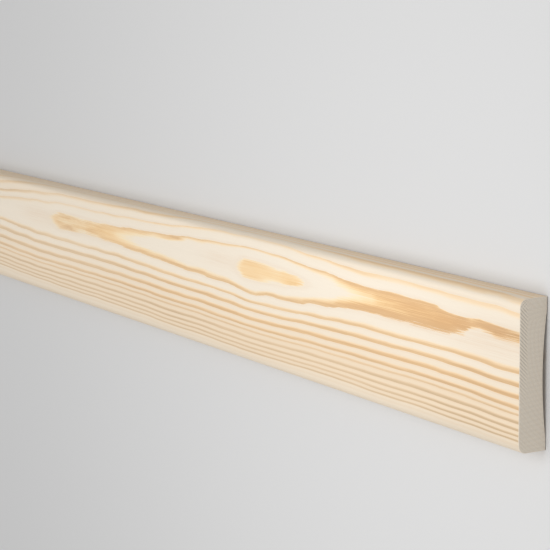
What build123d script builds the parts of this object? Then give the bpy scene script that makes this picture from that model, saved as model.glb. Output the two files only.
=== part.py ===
"""Planed pine door lining board: rounded front arrises and a hollowed back. Millimetres.

The board lies on its back. X runs along its length, Y across its width and Z out of its
front face. The origin is the middle of the underside, in the plane of the two back lands.
"""

import os

from build123d import *

# Driving dimensions
BOARD_LENGTH = 2200.0
BOARD_WIDTH = 70.0
BOARD_THICKNESS = 15.0
FRONT_ARRIS_RADIUS = 4.0  # rounding of the two long edges of the front face
BACK_LAND_WIDTH = 6.0  # flat strip along each long edge of the back, which bears on the wall
BACK_HOLLOW_DEPTH = 2.0  # at the middle of the hollow that is planed between the lands


def hollow_cutter() -> Sketch:
    """The disc whose upper arc is the hollow: it meets the back plane at both lands."""
    half_span = BOARD_WIDTH / 2 - BACK_LAND_WIDTH
    radius = (half_span**2 + BACK_HOLLOW_DEPTH**2) / (2 * BACK_HOLLOW_DEPTH)
    return Pos(0, BACK_HOLLOW_DEPTH - radius) * Circle(radius)


def board_section() -> Sketch:
    """The moulded section, seen along the board: back down, front face up."""
    blank = Rectangle(BOARD_WIDTH, BOARD_THICKNESS, align=(Align.CENTER, Align.MIN))
    front_corners = blank.vertices().group_by(Axis.Y)[-1]
    return fillet(front_corners, FRONT_ARRIS_RADIUS) - hollow_cutter()


def lining_board() -> Part:
    """The section run along the board's length, with both ends sawn square."""
    return extrude(Plane.YZ * board_section(), BOARD_LENGTH / 2, both=True)


os.makedirs("parts", exist_ok=True)
export_step(lining_board(), "parts/door_lining_board.step")
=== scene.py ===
"""Door lining board, dressed: planed pine with its growth rings, moulded edges and sawn ends.

The board's own measures are millimetres, and the scene's are metres. A place in the wood is
given as u, how far back from the near end, v, how far down from the top edge of the face as
the picture shows it, and w, how deep under the face.
"""

import math

import bpy
import numpy as np
from mathutils import Matrix, Vector


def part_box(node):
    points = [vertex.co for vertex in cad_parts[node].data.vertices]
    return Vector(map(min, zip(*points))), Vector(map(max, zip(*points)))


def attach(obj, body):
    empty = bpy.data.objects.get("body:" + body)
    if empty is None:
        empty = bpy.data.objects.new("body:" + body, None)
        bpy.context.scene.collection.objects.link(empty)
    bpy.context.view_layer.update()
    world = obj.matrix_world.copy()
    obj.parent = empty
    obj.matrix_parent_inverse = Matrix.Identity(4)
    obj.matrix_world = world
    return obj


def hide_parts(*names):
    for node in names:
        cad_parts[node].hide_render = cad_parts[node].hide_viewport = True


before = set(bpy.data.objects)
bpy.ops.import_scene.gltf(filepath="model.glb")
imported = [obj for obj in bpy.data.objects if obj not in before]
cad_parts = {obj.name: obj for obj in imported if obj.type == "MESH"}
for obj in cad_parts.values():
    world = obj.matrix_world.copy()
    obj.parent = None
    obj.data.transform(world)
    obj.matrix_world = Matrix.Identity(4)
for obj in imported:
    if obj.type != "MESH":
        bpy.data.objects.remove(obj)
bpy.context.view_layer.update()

BOARD = "door_lining_board"
MM = 0.001

# Section, as it is in the part's source
ARRIS_RADIUS = 4.0
LAND_WIDTH = 6.0
HOLLOW_DEPTH = 2.0
END_EASE = 0.25  # the sawn ends' edges are rubbed down by this much

# Mesh spacing: columns across the section, rows up it and stations along the board
FLAT_COLUMNS = 148
ARRIS_COLUMNS = 7
SIDE_ROWS = 36
NEAR_LENGTH = 620.0  # the stretch that the picture shows has closer stations
NEAR_STATIONS = 104
FAR_STATIONS = 92
SHARP_EDGE = 30.0  # degrees: a harder turn than this is shaded as an edge

# The tree: where the pith ran, and how the trunk swelled and leaned along the board. Each list
# holds knots of a curve: u, and the amount there.
PITH_DEPTH = 45.0  # under the face
AXIS = (  # how far down the face the pith ran
    (0, 19.5), (100, 18.9), (200, 18.4), (300, 19.0), (400, 19.8), (500, 20.8), (590, 22.0),
    (760, 23.5), (1000, 21.5), (1300, 24.5), (1600, 22.0), (1900, 25.5), (2200, 24.0),
)
SWELL = (  # square millimetres: where it is larger, each ring reaches further across
    (0, 16), (10, 18.5), (20, 23), (28, 22.5), (33, 17), (38, 19), (44, 21), (50, 25), (56, 32),
    (63, 40), (70, 46), (80, 48), (100, 43), (120, 38), (140, 48), (160, 75), (180, 98), (200, 136),
    (220, 153), (240, 162), (260, 131), (280, 119), (300, 107), (330, 80), (360, 57), (390, 36),
    (420, 25), (432, 19), (446, 20), (455, 25), (466, 40), (476, 40), (483, 33), (489, 24),
    (494, 13), (498, 3), (504, -6), (540, -25), (590, -60), (700, -140), (850, -205), (980, -150),
    (1120, -290), (1300, -330), (1450, -420), (1620, -380), (1800, -520), (2000, -610),
    (2200, -560),
)
SWELL_REACH = 38.0  # this far from the axis the swelling is half as large
CORE_SHIFT = (  # how far down from the axis the core lies
    (0, -2.6), (10, -3.1), (20, -3.9), (30, -6.0), (34, -5.6), (38, -3.7), (44, -1.9), (56, -1.4),
    (64, -1.5), (70, -1.9), (100, -1.6), (140, -0.9), (168, -0.4), (184, 0.3), (198, 0.3),
    (240, 0.3), (300, 0.0), (430, -0.2), (470, -1.0), (540, -0.6), (640, 0.0), (2200, 0.0),
)
CORE_SWELL = (  # more swelling, in the core alone
    (0, 0), (44, 0), (52, -4), (60, -10), (70, -15), (80, -22), (90, -16), (100, -9), (110, -4),
    (120, 6), (130, 9), (140, 10), (150, 10), (160, 8), (172, 8), (184, 20), (194, 9), (212, -10),
    (236, -14), (258, -21), (285, -22), (310, 0), (330, 6), (345, 12), (360, 19), (384, 17),
    (396, 12), (408, 2), (420, 0), (2200, 0),
)
SHIFT_WIDTH, SWELL_CORE_WIDTH, CORE_WIDTH = 5.5, 6.0, 7.5  # of the core's shift, swelling and colour
LEAN_BELOW = (  # how far up the lines below the core lie
    (0, -0.9), (20, -0.4), (40, 0.1), (60, 0.6), (80, 0.7), (100, 0.2), (120, -0.2), (140, -0.4),
    (180, -0.6), (200, -0.9), (240, -1.2), (262, -1.0), (282, -0.5), (300, -0.2), (330, -0.4),
    (360, 0.2), (420, 0.8), (450, 1.0), (480, 1.4), (510, 0.9), (540, 1.8), (590, 3.4), (900, 4.5),
    (1400, 3.5), (1800, 5.5), (2200, 5.0),
)
LEAN_ABOVE = (  # how far up the lines above the core lie
    (0, -0.1), (20, 0.6), (40, 0.6), (80, 0.2), (110, 0.1), (150, 0.0), (175, -0.4), (200, -0.2),
    (240, -0.3), (280, 0.4), (300, 0.1), (330, -1.2), (360, -1.7), (390, -1.4), (420, -1.7),
    (480, -1.8), (510, -2.0), (540, -2.9), (565, -4.4), (590, -5.4), (2200, -5.4),
)
LEAN_REACH = (4.0, 14.0)  # from the axis: where the lean starts, and where it is full
LEAN_LOWEST = (  # how far up the lowest lines lie besides
    (0, 0.0), (30, -0.3), (60, -0.8), (100, -0.8), (130, -0.1), (160, 0.2), (220, 0.2), (300, 0.1),
    (360, 0.3), (420, 0.6), (480, 0.6), (510, 1.7), (540, 1.2), (590, 1.0), (800, 0.0), (2200, 0.0),
)
LOWEST_REACH = (28.0, 46.0)
UPPER_SLANT = 2.0  # above the axis the rings move this far across for each millimetre of depth
SLANT_REACH = (8.0, 15.0)
WAVES = (  # local waves of one or two lines: their place across, their half width and their knots
    (11.0, 3.2, (
        (165, 0.0), (175, 0.2), (186, -1.0), (197, -0.3), (206, 0.0), (221, 0.6), (235, -0.6),
        (250, 0.2), (262, 0.5), (282, -0.4), (300, -0.3), (320, 0.0), (440, 0.0), (455, 0.2), (466, 0.6),
        (482, 0.6), (491, 0.4), (500, -0.4), (515, -0.3), (540, 0.0), (565, 0.8), (590, 1.8), (650, 0.0),
    )),
    (16.5, 2.6, (
        (230, 0.0), (250, 0.3), (265, 0.9), (282, 0.9), (300, 0.2), (330, 0.0), (440, 0.0), (466, 0.3),
        (482, 0.3), (500, -0.2), (515, -0.2), (540, 0.0),
    )),
    (-5.5, 2.4, (
        (50, 0.0), (56, -0.9), (61, 0.2), (67, 1.8), (75, 1.9), (81, 1.1), (88, 1.4), (100, 1.9),
        (108, 1.5), (116, 0.9), (132, 0.6), (150, 0.5), (166, 0.1), (180, 0.0), (405, 0.0), (420, 0.4),
        (432, 1.0), (444, 0.9), (453, 0.3), (462, 0.0),
    )),
    (-8.0, 2.5, ((515, 0.0), (535, -0.9), (560, -1.2), (590, -1.3), (650, 0.0))),
)
RIPPLES = (7, 24, 90, 0.5)  # how many, the shortest, the longest, and their turn by radius
RIPPLE_HEIGHT = 0.08
RIPPLE_REACH = (2.0, 9.0)  # from the axis: the core has none
FINE_RIPPLES = (6, 6, 20, 1.0)
FINE_HEIGHT = 0.022

# Soft spots on the face: u, v, half length, half width and strength
RESIN = ((334, 13.6, 9, 1.0, 0.5), (322, 12.2, 9, 1.3, 0.7))  # dark flecks
FRAYED = (  # stray fibres blur the rings' edges more, or less below nought
    (60, 23.0, 34, 2.6, 0.17), (14, 18.0, 24, 4.5, 0.15), (455, 19.0, 50, 5.0, 0.03),
    (225, 17.0, 40, 6.0, -0.03),
)
COMBED = (  # pale streaks run through the latewood
    (44, 20.0, 12, 5.0, 0.55), (12, 18.0, 20, 2.6, 0.35), (80, 18.0, 40, 6.0, 0.10),
    (228, 17.5, 30, 6.0, -0.08), (492, 20.0, 18, 7.0, 0.15),
)
SHADED = (  # the latewood is darker, or paler below nought
    (193, 20.2, 9, 2.7, 0.50), (244, 15.5, 11, 3.0, 0.12), (213, 22.4, 10, 1.5, -0.90),
    (254, 13.0, 9, 2.2, -0.40), (456, 20.0, 7, 4.0, -0.30), (501, 19.5, 8, 6.0, -0.50),
    (482, 22.5, 12, 2.5, 0.08), (235, 1.5, 62, 2.6, -0.75), (4, 17.8, 22, 3.0, 0.55),
    (48, 19.0, 14, 5.0, 0.15), (36, 15.2, 6, 1.5, -0.40), (2, 19.8, 9, 1.0, -0.35),
    (410, 4.5, 70, 3.2, -0.35), (210, 3.8, 36, 2.2, -0.35), (258, 17.0, 8, 5.0, -0.30),
    (0, 58.0, 55, 9.0, 0.22), (190, 58.0, 85, 9.0, -0.12), (4, 1.0, 15, 1.8, -1.0),
    (580, 3.6, 60, 2.0, -0.45), (565, 8.6, 40, 1.8, 0.35), (560, 13.6, 60, 2.4, -0.25),
)
SOFTENED = (  # the latewood fades gently at a ring's end
    (470, 20.0, 36, 9.0, 1.0), (228, 17.0, 34, 8.0, 0.36), (10, 18.0, 26, 4.0, 0.6),
)
BLUSH = (  # rosy wood
    (10, 20.5, 36, 8.0, 1.0), (85, 25.2, 45, 1.6, 0.8), (272, 17.5, 22, 4.5, 0.6),
    (518, 20.0, 26, 5.0, 0.8), (430, 24.8, 60, 1.8, 0.5),
)
PAINTED_LIGHT_AND_TONE = (  # painted light and shade, partly wood tone: lighter, or darker below nought; the strips along both arrises are painted shade
    (135, 13, 75, 14, 0.05), (0, 70, 3000, 7, -0.10), (0, 1, 3000, 1, -0.12),
    (0, 36, 55, 36, -0.04), (560, 35, 170, 45, 0.042), (560, 52, 160, 18, 0.028),
    (3, 17, 13, 2.6, -0.09), (30, 67, 60, 4, -0.05), (470, 20, 34, 6, -0.03),
)
SPOT_DEPTH = 3.0  # the spots fade this far under the face
RESIN_GROWTH, RESIN_SOONER = 0.10, 0.20  # resin widens the latewood by these shares of a ring

# Growth rings from the pith outwards: width, how dark the latewood is, and where it starts
RINGS = (
    (2.3, 0.80, 0.40), (2.0, 0.90, 0.40), (2.6, 0.80, 0.40), (2.2, 1.00, 0.40), (1.9, 0.70, 0.40),
    (2.4, 1.00, 0.40), (2.1, 0.80, 0.40), (2.5, 0.90, 0.40), (1.6, 0.90, 0.40), (1.35, 1.00, 0.46),
    (1.86, 0.90, 0.50), (2.02, 1.00, 0.42), (2.46, 0.95, 0.42), (2.40, 0.95, 0.44),
    (1.48, 0.74, 0.44), (2.38, 1.00, 0.44), (2.02, 0.96, 0.44), (1.77, 0.92, 0.44),
    (1.56, 0.96, 0.44), (1.35, 0.12, 0.44), (2.6, 0.10, 0.44), (2.4, 0.70, 0.44), (2.8, 0.70, 0.44),
    (2.2, 0.80, 0.44),
)
RING_AT_FACE = 10  # so many rings lie between the pith and the face, where nothing swelled
LATE_RISE = 0.38  # the share of a ring over which it darkens
LATE_PEAK = 0.95  # from here to the ring's end it pales again
LATE_SOFTER = 0.24  # in the softened spots it starts to pale by this much sooner
RING_SEED = 7

# How strongly the latewood shows, as knots along the board: in the core, above and below it
CORE_VIGOUR = (
    (0, 1.0), (150, 1.0), (178, 0.65), (192, 0.55), (205, 0.62), (255, 0.54), (300, 0.75),
    (370, 0.7), (405, 0.62), (440, 0.71), (500, 0.74), (640, 0.8), (2200, 0.8),
)
UPPER_VIGOUR = (
    (0, 0.48), (100, 0.45), (130, 0.7), (160, 0.9), (330, 0.9), (380, 0.70), (480, 0.55), (590, 0.72),
    (2200, 0.90),
)
UPPER_LATER = (  # the lines above the axis start this much later, so they are thinner
    (0, 0.0), (120, 0.02), (165, 0.14), (330, 0.18), (420, 0.12), (590, 0.08), (2200, 0.08),
)
LOWER_VIGOUR = (
    (0, 1.0), (40, 1.0), (95, 0.90), (200, 0.89), (300, 0.94), (420, 0.88), (520, 0.85),
    (590, 0.84), (900, 0.95), (2200, 0.95),
)
BESIDE_CORE = (3.0, 9.0)  # from the axis: the core passes into the lines
TOP_LINES = (-14.0, -18.0)  # across: the lines by the top arris
TOP_STRONG = ((0, 1.0), (120, 1.0), (190, 0.0), (2200, 0.0))  # where these show in full
SIDE_FADE = 0.45  # on the sides and the back it shows less by this share
SIDE_DEPTH = (0.3, 2.5)
LATE_RELIEF = 0.02  # soft earlywood lies this far below the hard latewood

# Tints and streaks, as knots along the board or by ring
CALM_FRAY = ((0, 0.024), (32, 0.024), (55, 0.06), (2200, 0.06))  # how far edges blur, in rings
CORE_FRAY = ((0, 0.0), (32, 0.0), (55, 0.08), (2200, 0.08))  # how much further in the core
CALM_COMB = 0.25
CORE_AMBER = ((0, 0.5), (25, 0.5), (60, 1.0), (390, 1.0), (470, 0.7), (2200, 0.7))
TAN = ((0, 0.95), (200, 0.95), (520, 0.8075), (2200, 0.8075))
TAN_RINGS = (9.5, 15.5)  # the wood turns tan from ring to ring
TAN_IN_RING = 0.1  # and by this share more within each ring
RIM_RINGS, RIM_PALER = (18.6, 19.6), 0.5  # the lowest strip is less tan by this share
DULL = ((0, 0.0), (300, 0.0), (470, 0.6), (2200, 0.6))
DULL_RINGS = (12.5, 16.0)  # the lines turn dull from ring to ring

# Scores that the saw's teeth left on each end: slanting by the front edge, level behind them
SAW_PITCH = 1.7
SAW_DEPTH = 0.10
SAW_BAND = (5.0, 3.0)  # under the face: the slanting scores start and are full
SAW_WANES = (24.0, 50.0)  # down the end: they lose most of their depth
SAW_LOST = 0.9
LEVEL_PITCH, LEVEL_TILT = 2.21, 0.1
LEVEL_SHARE = 0.08

# Wood colours, linear: from pale earlywood to latewood, in the lines and in the broad core
LINE_TONES = (
    (0.00, (0.905, 0.810, 0.675)), (0.20, (0.940, 0.768, 0.555)), (0.45, (0.890, 0.672, 0.430)),
    (0.70, (0.800, 0.566, 0.326)), (1.00, (0.695, 0.472, 0.265)),
)
CORE_TONES = (
    (0.00, (0.905, 0.810, 0.675)), (0.20, (0.965, 0.800, 0.530)), (0.35, (0.970, 0.745, 0.460)),
    (0.60, (0.915, 0.630, 0.320)), (0.80, (0.790, 0.490, 0.234)), (1.00, (0.730, 0.440, 0.205)),
)
DULL_TONES = (
    (0.00, (0.905, 0.810, 0.675)), (0.40, (0.835, 0.690, 0.515)), (0.75, (0.735, 0.600, 0.430)),
    (1.00, (0.655, 0.520, 0.362)),
)
TAN_SHARE = (0.955, 0.868, 0.762)
BLUSH_SHARE = (0.935, 0.855, 0.79)
CANAL_SHARE = (0.86, 0.74, 0.62)
END_GRAIN = (0.82, 0.737, 0.624)
END_LATE_SHARE = (0.93, 0.89, 0.83)

# Fine noise in the wood: how long and how wide its grains are, and how finely it breaks up
LONG_STRAYS = (40, 0.35, 3)
SHORT_STRAYS, SHORT_STRAY_SHARE = (8, 0.12, 2), 0.5
STREAKS = (30, 0.26, 2)
MOTTLES = (20, 3, 2)
DRIFTS = (70, 1.3, 2)
ROSY_STREAKS = (28, 0.4, 2)
CANALS = (4, 0.14, 0)
FIBRES = (14, 0.22, 2)
BROAD_BANDS = (160, 5, 2)
SAWN_FUZZ = (0.6, 0.6, 2)

# Surfaces
PLANED_ROUGHNESS, LATE_SMOOTHER = 0.62, 0.12  # hard latewood is planed smoother
SAWN_ROUGHNESS = 0.85
FLOOR_ROUGHNESS = 0.9
PLANED_SPECULAR, SAWN_SPECULAR = 0.3, 0.2
PLANED_BUMP, SAWN_BUMP = (0.4, 0.05), (0.5, 0.1)  # strength and height
FIBRE_SHADE, BAND_SHADE = 0.03, 0.02  # how far the fibres and the broad bands shade the wood
SAW_PAINTED_SHADE, FUZZ_SHADE = 0.26, 0.06  # painted shade in the saw's grooves and painted light on its ridges, and the fuzz, on the ends
END_LATE = (0.4, 0.8)  # where a ring darkens on the ends
END_LATE_STRENGTH = 0.3
END_LIGHT = 0.92

# Studio
FLOOR_GREY = (0.68, 0.68, 0.68)
FLOOR_SIZE = 60.0
FLOOR_DROP = 0.0003
WORLD_STRENGTH = 0.49
SOFTBOXES = (  # name, place, point it faces, width, depth, watts
    ("long_softbox", (-0.9, 0.0, 1.1), (-0.9, 0.0, 0.0), 1.8, 0.9, 6.9),
    ("near_softbox", (1.1, 0.03, 0.6), (0.97, 0.0, 0.0), 0.7, 0.6, 2.73),
)

# Camera, fitted to the board's outline in the picture
CAMERA_PLACE = (1.8111, 0.1920, 0.5572)
CAMERA_RIGHT = (0.5075, -0.0078, -0.8616)
CAMERA_FORWARD = (-0.8510, -0.1615, -0.4998)
FOCAL_PIXELS = 2057.6
PICTURE_PIXELS = 550
SENSOR_WIDTH = 36.0


def smooth(low, high, value):
    """0 at low, 1 at high, level beyond them and an even S between them. Low may be the larger."""
    t = np.clip((value - low) / (high - low), 0, 1)
    return t * t * (3 - 2 * t)


def through(knots, at):
    """A smooth curve through the given knots, which doesn't overshoot between them."""
    x, y = np.array(knots, float).T
    slope = np.diff(y) / np.diff(x)
    tangent = np.zeros_like(y)
    before, after = slope[:-1], slope[1:]
    same_way = before * after > 0
    tangent[1:-1][same_way] = (2 * before * after)[same_way] / (before + after)[same_way]
    i = np.clip(np.searchsorted(x, at) - 1, 0, len(x) - 2)
    span = x[i + 1] - x[i]
    t = np.clip((at - x[i]) / span, 0, 1)
    return (
        y[i] * (1 + 2 * t) * (1 - t) ** 2
        + y[i + 1] * t * t * (3 - 2 * t)
        + span * t * (1 - t) * (tangent[i] * (1 - t) - tangent[i + 1] * t)
    )


def ripples(rng, u, radius, count, shortest, longest, turn):
    """Uneven waves along the trunk that shift slowly from ring to ring, about 1 high."""
    total = np.zeros_like(u)
    for _ in range(count):
        length = math.exp(rng.uniform(math.log(shortest), math.log(longest)))
        phase = rng.uniform(0, 2 * math.pi) + radius * rng.normal(0, turn)
        total += rng.uniform(0.5, 1) * np.sin(2 * math.pi * u / length + phase)
    return total / math.sqrt(count)


def ring_growth(u, v, w):
    """The number of rings inside each place, with how far its own ring had grown as the
    fraction, and the place's distance across from the axis."""
    across = v - through(AXIS, u)
    across = across - through(CORE_SHIFT, u) * np.exp(-((across / SHIFT_WIDTH) ** 2))
    across = across + through(LEAN_BELOW, u) * smooth(*LEAN_REACH, across)
    across = across + through(LEAN_ABOVE, u) * smooth(*LEAN_REACH, -across)
    across = across + through(LEAN_LOWEST, u) * smooth(*LOWEST_REACH, across)
    for place, half_width, knots in WAVES:
        across = across + through(knots, u) * np.exp(-(((across - place) / half_width) ** 2))
    across = across - UPPER_SLANT * w * smooth(*SLANT_REACH, -across)
    core = np.exp(-((across / SWELL_CORE_WIDTH) ** 2))
    swell = through(SWELL, u) / (1 + (across / SWELL_REACH) ** 2) + through(CORE_SWELL, u) * core
    radius = np.sqrt(np.maximum(across**2 + (PITH_DEPTH - w) ** 2 - swell, 1.0))
    rng = np.random.default_rng(RING_SEED)
    beside_axis = smooth(*RIPPLE_REACH, np.abs(across))
    radius = radius + RIPPLE_HEIGHT * beside_axis * ripples(rng, u, radius, *RIPPLES)
    radius = radius + FINE_HEIGHT * ripples(rng, u, radius, *FINE_RIPPLES)
    edges = np.cumsum([0.0] + [width for width, _, _ in RINGS])
    edges += PITH_DEPTH - edges[RING_AT_FACE]
    return np.interp(radius, edges, np.arange(len(edges))), across


def ring_of(growth):
    """The number of the ring that each place lies in."""
    return np.clip(np.floor(growth).astype(int), 0, len(RINGS) - 1)


def spots(places, u, v):
    """The soft spots given, added up at each place."""
    total = np.zeros_like(u)
    for at_u, at_v, half_length, half_width, strength in places:
        along, down = (u - at_u) / half_length, (v - at_v) / half_width
        total += strength * np.exp(-(along**2) - down**2)
    return total


def wood(u, v, w):
    """What is kept at each place in the wood for its colour, by name."""
    growth, across = ring_growth(u, v, w)
    core = np.exp(-((across / CORE_WIDTH) ** 2))
    on_face = np.exp(-w / SPOT_DEPTH)
    resin = np.minimum(spots(RESIN, u, v), 1) * on_face
    at_top = smooth(*TOP_LINES, across) * through(TOP_STRONG, u)
    above, below = smooth(*BESIDE_CORE, -across), smooth(*BESIDE_CORE, across)
    upper = through(UPPER_VIGOUR, u)
    upper = upper + (1 - upper) * at_top
    vigour = 1 + (through(CORE_VIGOUR, u) - 1) * core
    vigour = vigour * (1 + (upper - 1) * above) * (1 + (through(LOWER_VIGOUR, u) - 1) * below)
    vigour = vigour * (1 - SIDE_FADE * smooth(*SIDE_DEPTH, w)) * (1 + spots(SHADED, u, v) * on_face)
    starts = np.array([start for _, _, start in RINGS])
    late_from = starts[ring_of(growth)] + through(UPPER_LATER, u) * above * (1 - at_top)
    softened = np.minimum(spots(SOFTENED, u, v), 1) * on_face
    fray = through(CALM_FRAY, u) + through(CORE_FRAY, u) * core + spots(FRAYED, u, v) * on_face
    outer = smooth(*TAN_RINGS, growth) * (1 - RIM_PALER * smooth(*RIM_RINGS, growth))
    return {
        "growth": growth + RESIN_GROWTH * resin,
        "late_from": late_from - RESIN_SOONER * resin,
        "late_to": LATE_PEAK - LATE_SOFTER * softened,
        "vigour": vigour + (1 - vigour) * resin,
        "amber": core * through(CORE_AMBER, u),
        "fray": fray,
        "comb": CALM_COMB + spots(COMBED, u, v) * on_face,
        "blush": np.minimum(spots(BLUSH, u, v), 1) * on_face,
        # painted light and shade, partly wood tone, from the spots
        "painted_light_and_tone": spots(PAINTED_LIGHT_AND_TONE, u, v) * on_face,
        "tan": through(TAN, u) * outer,
        "dull": np.maximum(smooth(*DULL_RINGS, growth), through(DULL, u)),
    }


def latewood(growth, late_from, late_to, vigour):
    """How dark each place is, from 0 in earlywood to 1 near a ring's hard outer edge."""
    ring = ring_of(growth)
    season = growth - ring
    band = smooth(late_from, late_from + LATE_RISE, season) * smooth(1.0, late_to, season)
    return np.minimum(band * np.array([dark for _, dark, _ in RINGS])[ring] * vigour, 1)


def saw_scores(v, w):
    """How the saw scored an end, from -1 on a ridge to 1 in a groove: slanting scores by the
    front edge that die out downwards, and faint level ones behind them."""
    slanting = -np.cos(2 * math.pi * (w - v) / SAW_PITCH)
    level = -np.cos(2 * math.pi * (v + LEVEL_TILT * w) / LEVEL_PITCH)
    band = smooth(*SAW_BAND, w) * (1 - SAW_LOST * smooth(*SAW_WANES, v))
    return slanting * band + LEVEL_SHARE * level * (1 - band)


class Section:
    """The moulded section as a grid of places, columns across and rows up, and the loop of places
    round its outside."""

    def __init__(self, width, thickness):
        half, middle, shoulder = width / 2, thickness / 2, thickness - ARRIS_RADIUS
        turn = np.linspace(0, math.pi / 2, ARRIS_COLUMNS + 1)[:-1]
        arris_y = half - ARRIS_RADIUS + ARRIS_RADIUS * np.cos(turn)
        arris_z = shoulder + ARRIS_RADIUS * np.sin(turn)
        flat_y = np.linspace(-(half - ARRIS_RADIUS), half - ARRIS_RADIUS, FLAT_COLUMNS + 1)
        across = np.concatenate([-arris_y, flat_y, arris_y[::-1]])
        front = np.concatenate([arris_z, np.full(len(flat_y), thickness), arris_z[::-1]])
        span = half - LAND_WIDTH
        radius = (span**2 + HOLLOW_DEPTH**2) / (2 * HOLLOW_DEPTH)
        arc = np.sqrt(radius**2 - np.minimum(np.abs(across), span) ** 2)
        back = arc - (radius - HOLLOW_DEPTH)
        self.z = back[:, None] + (front - back)[:, None] * np.linspace(0, 1, SIDE_ROWS + 1)
        self.y = np.broadcast_to(across[:, None], self.z.shape)
        self.loop = self.outside()
        self.loop_y, self.loop_z = self.y[self.loop], self.z[self.loop]

        # the same grid on a sawn end, drawn in by the eased edge
        self.end_y = self.y * (1 - END_EASE / half)
        self.end_z = self.z + (middle - self.z) * END_EASE / middle

    def outside(self):
        """The columns and rows of the loop: up one side, over the front, down the other side and
        home along the back."""
        last, top = self.z.shape[0] - 1, self.z.shape[1] - 1
        up = [(0, k) for k in range(top)]
        over = [(j, top) for j in range(last)]
        down = [(last, k) for k in range(top, 0, -1)]
        home = [(j, 0) for j in range(last, 0, -1)]
        return tuple(np.array(up + over + down + home).T)

    def inward(self):
        """The direction into the board at each place of the loop."""
        y, z = self.loop_y, self.loop_z
        made = np.stack([np.roll(z, -1) - np.roll(z, 1), np.roll(y, 1) - np.roll(y, -1)], 1)
        return made / np.linalg.norm(made, axis=1)[:, None]


class BakeMap:
    """The flat layout that a texture of the board is baked on: the skin cut into lengths that
    lie in two columns of three, with the two ends stood beside them. Its unit is a 512th."""

    SIZE = 512.0
    LENGTHS, COLUMNS = 6, 2
    LENGTH_WIDE, LENGTH_HIGH = 216.0, 166.0
    COLUMN_STEP, ROW_STEP = 224.0, 170.0
    MARGIN = 3.0
    RIM = 1.5
    END_SCALE, END_LEFT, END_STEP = 2.0, 454.0, 160.0

    def __init__(self, stations, loop_y, loop_z):
        steps = np.hypot(np.roll(loop_y, -1) - loop_y, np.roll(loop_z, -1) - loop_z)
        self.around = np.concatenate([[0], np.cumsum(steps)]) / steps.sum() * self.LENGTH_HIGH
        cuts = np.linspace(stations[0], stations[-1], self.LENGTHS + 1)
        self.cuts = np.array([np.abs(stations - cut).argmin() for cut in cuts])
        self.stations = stations

    def corner(self, length):
        """The lower left corner of one of the lengths."""
        row, column = divmod(length, self.COLUMNS)
        return self.MARGIN + column * self.COLUMN_STEP, self.MARGIN + row * self.ROW_STEP

    def quads(self, left, right, low, high):
        """The four corners of each quad, from its sides."""
        across = np.stack([left, right, right, left], -1)
        up = np.stack([low, low, high, high], -1)
        return np.stack([across, up], -1) / self.SIZE

    def skin(self):
        """The quads of the skin, length by length."""
        made = []
        for length, (first, last) in enumerate(zip(self.cuts[:-1], self.cuts[1:])):
            corner_x, corner_y = self.corner(length)
            x = self.stations[first:last + 1]
            x = corner_x + (x - x[0]) / (x[-1] - x[0]) * self.LENGTH_WIDE
            y = corner_y + self.around
            left, low = np.meshgrid(x[:-1], y[:-1], indexing="ij")
            right, high = np.meshgrid(x[1:], y[1:], indexing="ij")
            made.append(self.quads(left, right, low, high).reshape(-1, 4, 2))
        return np.concatenate(made)

    def rim(self, end):
        """The eased edge of one end, beside the end of its length of skin."""
        corner_x, corner_y = self.corner(0 if end == 0 else self.LENGTHS - 1)
        edge = corner_x if end == 0 else corner_x + self.LENGTH_WIDE
        outside = edge - self.RIM if end == 0 else edge + self.RIM
        y = corner_y + self.around
        x = np.tile([edge, edge, outside, outside], (len(y) - 1, 1))
        return np.stack([x, np.stack([y[:-1], y[1:], y[1:], y[:-1]], -1)], -1) / self.SIZE

    def end(self, end, y, z):
        """The cells of one sawn end."""
        across = self.END_LEFT + z * self.END_SCALE
        up = self.MARGIN + end * self.END_STEP + (y - y.min()) * self.END_SCALE
        places = np.stack([across, up], -1) / self.SIZE
        cells = [places[:-1, :-1], places[1:, :-1], places[1:, 1:], places[:-1, 1:]]
        return np.stack(cells, -2).reshape(-1, 4, 2)


def board_points(section, stations, ends):
    """The places of the skin, a loop at each station, and after them of the grid on each end."""
    skin = np.empty((len(stations), len(section.loop_y), 3))
    skin[..., 0] = stations[:, None]
    skin[..., 1] = section.loop_y
    skin[..., 2] = section.loop_z
    grids = [np.stack([np.full(section.y.shape, x), section.end_y, section.end_z], -1) for x in ends]
    return np.concatenate([places.reshape(-1, 3) for places in (skin, *grids)])


def board_faces(section, stations):
    """The quads of the skin, and those of both ends: each end's rim and then its grid. The bake
    map's places for all of them come with them."""
    around, grid_size = len(section.loop_y), section.z.size
    index = np.arange(len(stations) * around).reshape(-1, around)
    after = np.roll(index, -1, axis=1)
    skin = np.stack([index[:-1], index[1:], after[1:], after[:-1]], -1).reshape(-1, 4)
    bake = BakeMap(stations, section.loop_y, section.loop_z)
    ends, places = [], [bake.skin()]
    for end, station in enumerate((0, -1)):
        grid = index.size + end * grid_size + np.arange(grid_size).reshape(section.z.shape)
        edge = grid[section.loop]
        rim = np.stack([index[station], after[station], np.roll(edge, -1), edge], -1)
        cells = np.stack([grid[:-1, :-1], grid[1:, :-1], grid[1:, 1:], grid[:-1, 1:]], -1)
        cells = cells.reshape(-1, 4)
        rim_places, cell_places = bake.rim(end), bake.end(end, section.end_y, section.end_z)
        if end == 0:
            cells, cell_places = cells[:, ::-1], cell_places[:, ::-1]
        else:
            rim, rim_places = rim[:, ::-1], rim_places[:, ::-1]
        ends += [rim, cells]
        places += [rim_places, cell_places]
    return skin, np.concatenate(ends), np.concatenate(places)


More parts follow.
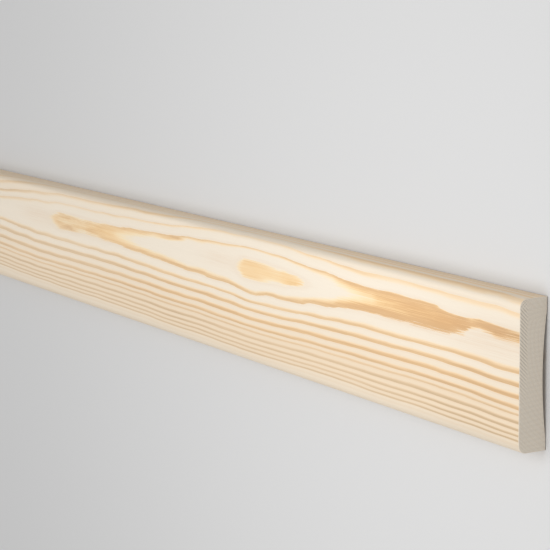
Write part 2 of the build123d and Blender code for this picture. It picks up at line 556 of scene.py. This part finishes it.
def board_mesh():
    """The board as one closed mesh, with its growth rings kept as values on its points."""
    low, high = (np.array(corner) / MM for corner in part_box(BOARD))
    section = Section(high[1] - low[1], high[2] - low[2])
    stations = np.concatenate([
        np.linspace(low[0] + END_EASE, high[0] - NEAR_LENGTH, FAR_STATIONS + 1)[:-1],
        np.linspace(high[0] - NEAR_LENGTH, high[0] - END_EASE, NEAR_STATIONS + 1),
    ])
    points = board_points(section, stations, (low[0], high[0]))
    u, v, w = (high - points).T
    kept = wood(u, v, w)
    kept["saw"] = saw_scores(v, w)

    # relief: earlywood is sunk all over the skin, and the saw cut into the ends
    on_skin = slice(0, len(stations) * len(section.loop_y))
    kept["saw"][on_skin] = -1
    hard = latewood(*(kept[name] for name in ("growth", "late_from", "late_to", "vigour")))
    sink = LATE_RELIEF * (1 - hard[on_skin])
    points[on_skin, 1:] += sink[:, None] * np.tile(section.inward(), (len(stations), 1))
    points[:, 0] -= np.sign(points[:, 0]) * SAW_DEPTH * (0.5 + 0.5 * kept["saw"])

    skin, ends, bake_places = board_faces(section, stations)
    quads = np.concatenate([skin, ends])
    mesh = bpy.data.meshes.new("planed_pine_board")
    mesh.from_pydata((points * MM).tolist(), [], quads.tolist())
    for name, values in kept.items():
        layer = mesh.attributes.new(name, "FLOAT", "POINT")
        layer.data.foreach_set("value", values.astype(np.float32))
    bake_layer = mesh.uv_layers.new(name="OFBake")
    bake_layer.data.foreach_set("uv", bake_places.astype(np.float32).ravel())
    material_of = np.repeat([0, 1], [len(skin), len(ends)]).astype(np.int32)
    mesh.polygons.foreach_set("material_index", material_of)
    mesh.polygons.foreach_set("use_smooth", np.ones(len(quads), bool))
    mesh.update()
    mesh.validate()
    mesh.set_sharp_from_angle(angle=math.radians(SHARP_EDGE))
    return mesh


class Graph:
    """Adds nodes to one material, each wired to what it reads as it is made."""

    def __init__(self, name):
        self.material = bpy.data.materials.new(name)
        self.material.use_nodes = True
        self.tree = self.material.node_tree
        self.shader = self.tree.nodes["Principled BSDF"]

    def set(self, socket, value):
        """Wires a socket to another one, or gives it a constant."""
        if isinstance(value, bpy.types.NodeSocket):
            self.tree.links.new(value, socket)
        else:
            socket.default_value = value

    def node(self, kind, *inputs, **settings):
        """A node of this kind, with its inputs in order and its settings by name."""
        made = self.tree.nodes.new(kind)
        for name, value in settings.items():
            setattr(made, name, value)
        for i, value in enumerate(inputs):
            if value is not None:
                self.set(made.inputs[i], value)
        return made

    def math(self, operation, *inputs, clamp=False):
        """The result of one operation on these inputs."""
        return self.node("ShaderNodeMath", *inputs, operation=operation, use_clamp=clamp).outputs[0]

    def value(self, name):
        """A value that the mesh keeps on its points."""
        return self.node("ShaderNodeAttribute", attribute_name=name).outputs["Fac"]

    def ease(self, value, low, high, start=0.0, stop=1.0):
        """start where the value is below low, stop above high and an even S between them."""
        made = self.node("ShaderNodeMapRange", value, low, high, start, stop)
        made.interpolation_type = "SMOOTHSTEP"
        return made.outputs[0]

    def mix(self, share, first, second, blend="MIX"):
        """The first colour, with the second one blended in by this share."""
        made = self.node("ShaderNodeMix", data_type="RGBA", blend_type=blend, clamp_factor=True)
        self.set(made.inputs["Factor"], share)
        for name, colour in (("A", first), ("B", second)):
            socket = next(s for s in made.inputs if s.name == name and s.type == "RGBA")
            self.set(socket, (*colour, 1.0) if isinstance(colour, tuple) else colour)
        return next(s for s in made.outputs if s.type == "RGBA")

    def grain(self, along, across, detail):
        """Noise from -1 to 1 whose grains are this long and wide, in millimetres."""
        place = self.node("ShaderNodeTexCoord").outputs["Object"]
        stretch = (1 / (along * MM), 1 / (across * MM), 1 / (across * MM))
        place = self.node("ShaderNodeVectorMath", place, stretch, operation="MULTIPLY").outputs[0]
        noise = self.node("ShaderNodeTexNoise", place)
        noise.inputs["Scale"].default_value = 1.0
        noise.inputs["Detail"].default_value = detail
        return self.math("MULTIPLY_ADD", noise.outputs[0], 2.0, -1.0)

    def bump(self, noise, strength, height):
        """Lets a noise roughen the surface by this height, in millimetres."""
        made = self.node("ShaderNodeBump")
        made.inputs["Strength"].default_value = strength
        made.inputs["Distance"].default_value = height * MM
        self.set(made.inputs["Height"], noise)
        self.set(self.shader.inputs["Normal"], made.outputs[0])


def tones(g, value, stops, stepped=False):
    """A colour for each value, through the (value, colour) stops given."""
    ramp = g.node("ShaderNodeValToRGB", value)
    ramp.color_ramp.interpolation = "CONSTANT" if stepped else "LINEAR"
    elements = ramp.color_ramp.elements
    for k, (position, colour) in enumerate(stops):
        element = elements[k] if k < 2 else elements.new(position)
        element.position = position
        element.color = (*colour, 1.0)
    return ramp.outputs[0]


def grey(g, value):
    """The value as a colour, to multiply another one by."""
    return g.node("ShaderNodeCombineColor", value, value, value).outputs[0]


def streaked_latewood(g, growth, season):
    """How dark the long grain is: latewood() as nodes, with streaks, mottles and slow drifts."""
    late_from, late_to = g.value("late_from"), g.value("late_to")
    late = g.ease(season, late_from, g.math("ADD", late_from, LATE_RISE))
    late = g.math("MULTIPLY", late, g.ease(season, late_to, 1.0, start=1.0, stop=0.0))
    dark_rings = [(k / len(RINGS), (dark, dark, dark)) for k, (_, dark, _) in enumerate(RINGS)]
    ring_share = g.math("DIVIDE", growth, len(RINGS))
    late = g.math("MULTIPLY", late, tones(g, ring_share, dark_rings, stepped=True))
    late = g.math("MULTIPLY", late, g.value("vigour"))
    pale_streaks = g.ease(g.grain(*STREAKS), low=0.0, high=0.4)
    pale_streaks = g.math("MULTIPLY", pale_streaks, g.value("comb"))
    late = g.math("MULTIPLY", late, g.math("SUBTRACT", 1.0, pale_streaks))
    softness = g.ease(late_to, LATE_PEAK - LATE_SOFTER, LATE_PEAK, start=1.0, stop=0.0)
    mottle = g.ease(g.grain(*MOTTLES), low=-0.35, high=0.35, start=-0.3, stop=0.3)
    mottle = g.math("MULTIPLY", mottle, softness)
    late = g.math("MULTIPLY", late, g.math("ADD", mottle, 1.0))
    drift = g.ease(g.grain(*DRIFTS), low=-0.6, high=0.6, start=0.8, stop=1.1)
    return g.math("MULTIPLY", late, drift, clamp=True)


def planed_pine():
    """Long grain: rings cut lengthwise, with stray fibres, resin canals, a planed surface and spots of
    painted light and shade.
    """
    g = Graph("planed_pine")
    stray = g.math("MULTIPLY_ADD", g.grain(*SHORT_STRAYS), SHORT_STRAY_SHARE, g.grain(*LONG_STRAYS))
    growth = g.math("MULTIPLY_ADD", stray, g.value("fray"), g.value("growth"))
    season = g.math("FRACT", growth)
    late = streaked_latewood(g, growth, season)

    # each tint's share: tan grows a little within a ring, and early wood has a rosy start
    tan = g.math("MULTIPLY_ADD", g.ease(season, low=0.1, high=0.9), TAN_IN_RING, g.value("tan"))
    rosy = g.ease(g.grain(*ROSY_STREAKS), low=-0.3, high=0.3, start=0.3, stop=1.0)
    blush = g.math("MULTIPLY", g.value("blush"), rosy)
    blush = g.math("MAXIMUM", g.ease(season, low=0.0, high=0.24, start=0.4, stop=0.0), blush)
    canal = g.ease(g.grain(*CANALS), low=0.50, high=0.72)
    canal = g.math("MULTIPLY", canal, g.ease(season, low=0.3, high=0.6, start=0.1, stop=0.6))
    fibre = g.grain(*FIBRES)
    light = g.math("MULTIPLY_ADD", fibre, FIBRE_SHADE, 1.0 - FIBRE_SHADE)
    light = g.math("MULTIPLY_ADD", g.grain(*BROAD_BANDS), BAND_SHADE, light)
    # painted light and shade from the spots lighten or darken the colour
    light = g.math("ADD", light, g.value("painted_light_and_tone"))

    colour = g.mix(g.value("dull"), tones(g, late, LINE_TONES), tones(g, late, DULL_TONES))
    colour = g.mix(g.value("amber"), colour, tones(g, late, CORE_TONES))
    for share, tint in ((tan, TAN_SHARE), (blush, BLUSH_SHARE), (canal, CANAL_SHARE)):
        colour = g.mix(share, colour, g.mix(1.0, colour, tint, "MULTIPLY"))
    colour = g.mix(1.0, colour, grey(g, light), "MULTIPLY")
    roughness = g.math("MULTIPLY_ADD", late, -LATE_SMOOTHER, PLANED_ROUGHNESS)
    g.set(g.shader.inputs["Base Color"], colour)
    g.set(g.shader.inputs["Roughness"], roughness)
    g.set(g.shader.inputs["Specular IOR Level"], PLANED_SPECULAR)
    g.bump(fibre, *PLANED_BUMP)
    return g.material


def sawn_end():
    """End grain: the rings show faintly between the saw's scores and the fuzz it left, with painted
    shade in the scores' grooves.
    """
    g = Graph("sawn_end_grain")
    season = g.math("FRACT", g.value("growth"))
    late = g.ease(season, *END_LATE)
    late = g.math("MULTIPLY", late, g.ease(season, LATE_PEAK, 1.0, start=1.0, stop=0.0))
    fuzz = g.grain(*SAWN_FUZZ)
    light = g.math("MULTIPLY_ADD", fuzz, FUZZ_SHADE, END_LIGHT)
    # painted shade in the saw's grooves, painted light on its ridges
    light = g.math("MULTIPLY_ADD", g.value("saw"), -SAW_PAINTED_SHADE, light, clamp=True)
    late_grain = tuple(a * b for a, b in zip(END_GRAIN, END_LATE_SHARE))
    colour = g.mix(g.math("MULTIPLY", late, END_LATE_STRENGTH), END_GRAIN, late_grain)
    colour = g.mix(1.0, colour, grey(g, light), "MULTIPLY")
    g.set(g.shader.inputs["Base Color"], colour)
    g.set(g.shader.inputs["Roughness"], SAWN_ROUGHNESS)
    g.set(g.shader.inputs["Specular IOR Level"], SAWN_SPECULAR)
    g.bump(fuzz, *SAWN_BUMP)
    return g.material


def add_board():
    """The dressed board, which stands for the part's own solid."""
    board = bpy.data.objects.new("planed_pine_board", board_mesh())
    bpy.context.scene.collection.objects.link(board)
    board.data.materials.append(planed_pine())
    board.data.materials.append(sawn_end())
    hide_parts(BOARD)
    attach(board, "root")


def add_floor():
    """A plain pale floor, which fills the picture behind the board."""
    half = FLOOR_SIZE / 2
    corners = [(-half, -half), (half, -half), (half, half), (-half, half)]
    mesh = bpy.data.meshes.new("floor")
    mesh.from_pydata([(x, y, -FLOOR_DROP) for x, y in corners], [], [(0, 1, 2, 3)])
    floor = bpy.data.objects.new("floor", mesh)
    bpy.context.scene.collection.objects.link(floor)
    g = Graph("pale_floor")
    g.shader.inputs["Base Color"].default_value = (*FLOOR_GREY, 1.0)
    g.shader.inputs["Roughness"].default_value = FLOOR_ROUGHNESS
    mesh.materials.append(g.material)


def add_light():
    """An even white world and two soft lamps over the board."""
    world = bpy.data.worlds.new("studio")
    world.use_nodes = True
    world.node_tree.nodes["Background"].inputs["Color"].default_value = (1, 1, 1, 1)
    world.node_tree.nodes["Background"].inputs["Strength"].default_value = WORLD_STRENGTH
    bpy.context.scene.world = world
    for name, place, target, width, depth, watts in SOFTBOXES:
        lamp = bpy.data.lights.new(name, "AREA")
        lamp.shape = "RECTANGLE"
        lamp.size, lamp.size_y = width, depth
        lamp.energy = watts
        softbox = bpy.data.objects.new(name, lamp)
        softbox.location = place
        aim = Vector(target) - Vector(place)
        softbox.rotation_euler = aim.to_track_quat("-Z", "Y").to_euler()
        bpy.context.scene.collection.objects.link(softbox)


def add_camera():
    """The picture's own view, from its place, its direction and what lies to its right."""
    lens = bpy.data.cameras.new("camera")
    lens.sensor_width = SENSOR_WIDTH
    lens.lens = FOCAL_PIXELS * SENSOR_WIDTH / PICTURE_PIXELS
    camera = bpy.data.objects.new("camera", lens)
    forward = Vector(CAMERA_FORWARD).normalized()
    right = Vector(CAMERA_RIGHT)
    right = (right - forward * right.dot(forward)).normalized()
    up = right.cross(forward)
    turned = Matrix((right, up, -forward)).transposed().to_4x4()
    camera.matrix_world = Matrix.Translation(CAMERA_PLACE) @ turned
    bpy.context.scene.collection.objects.link(camera)
    bpy.context.scene.camera = camera


add_board()
add_floor()
add_light()
add_camera()
bpy.context.scene.view_settings.view_transform = "Standard"
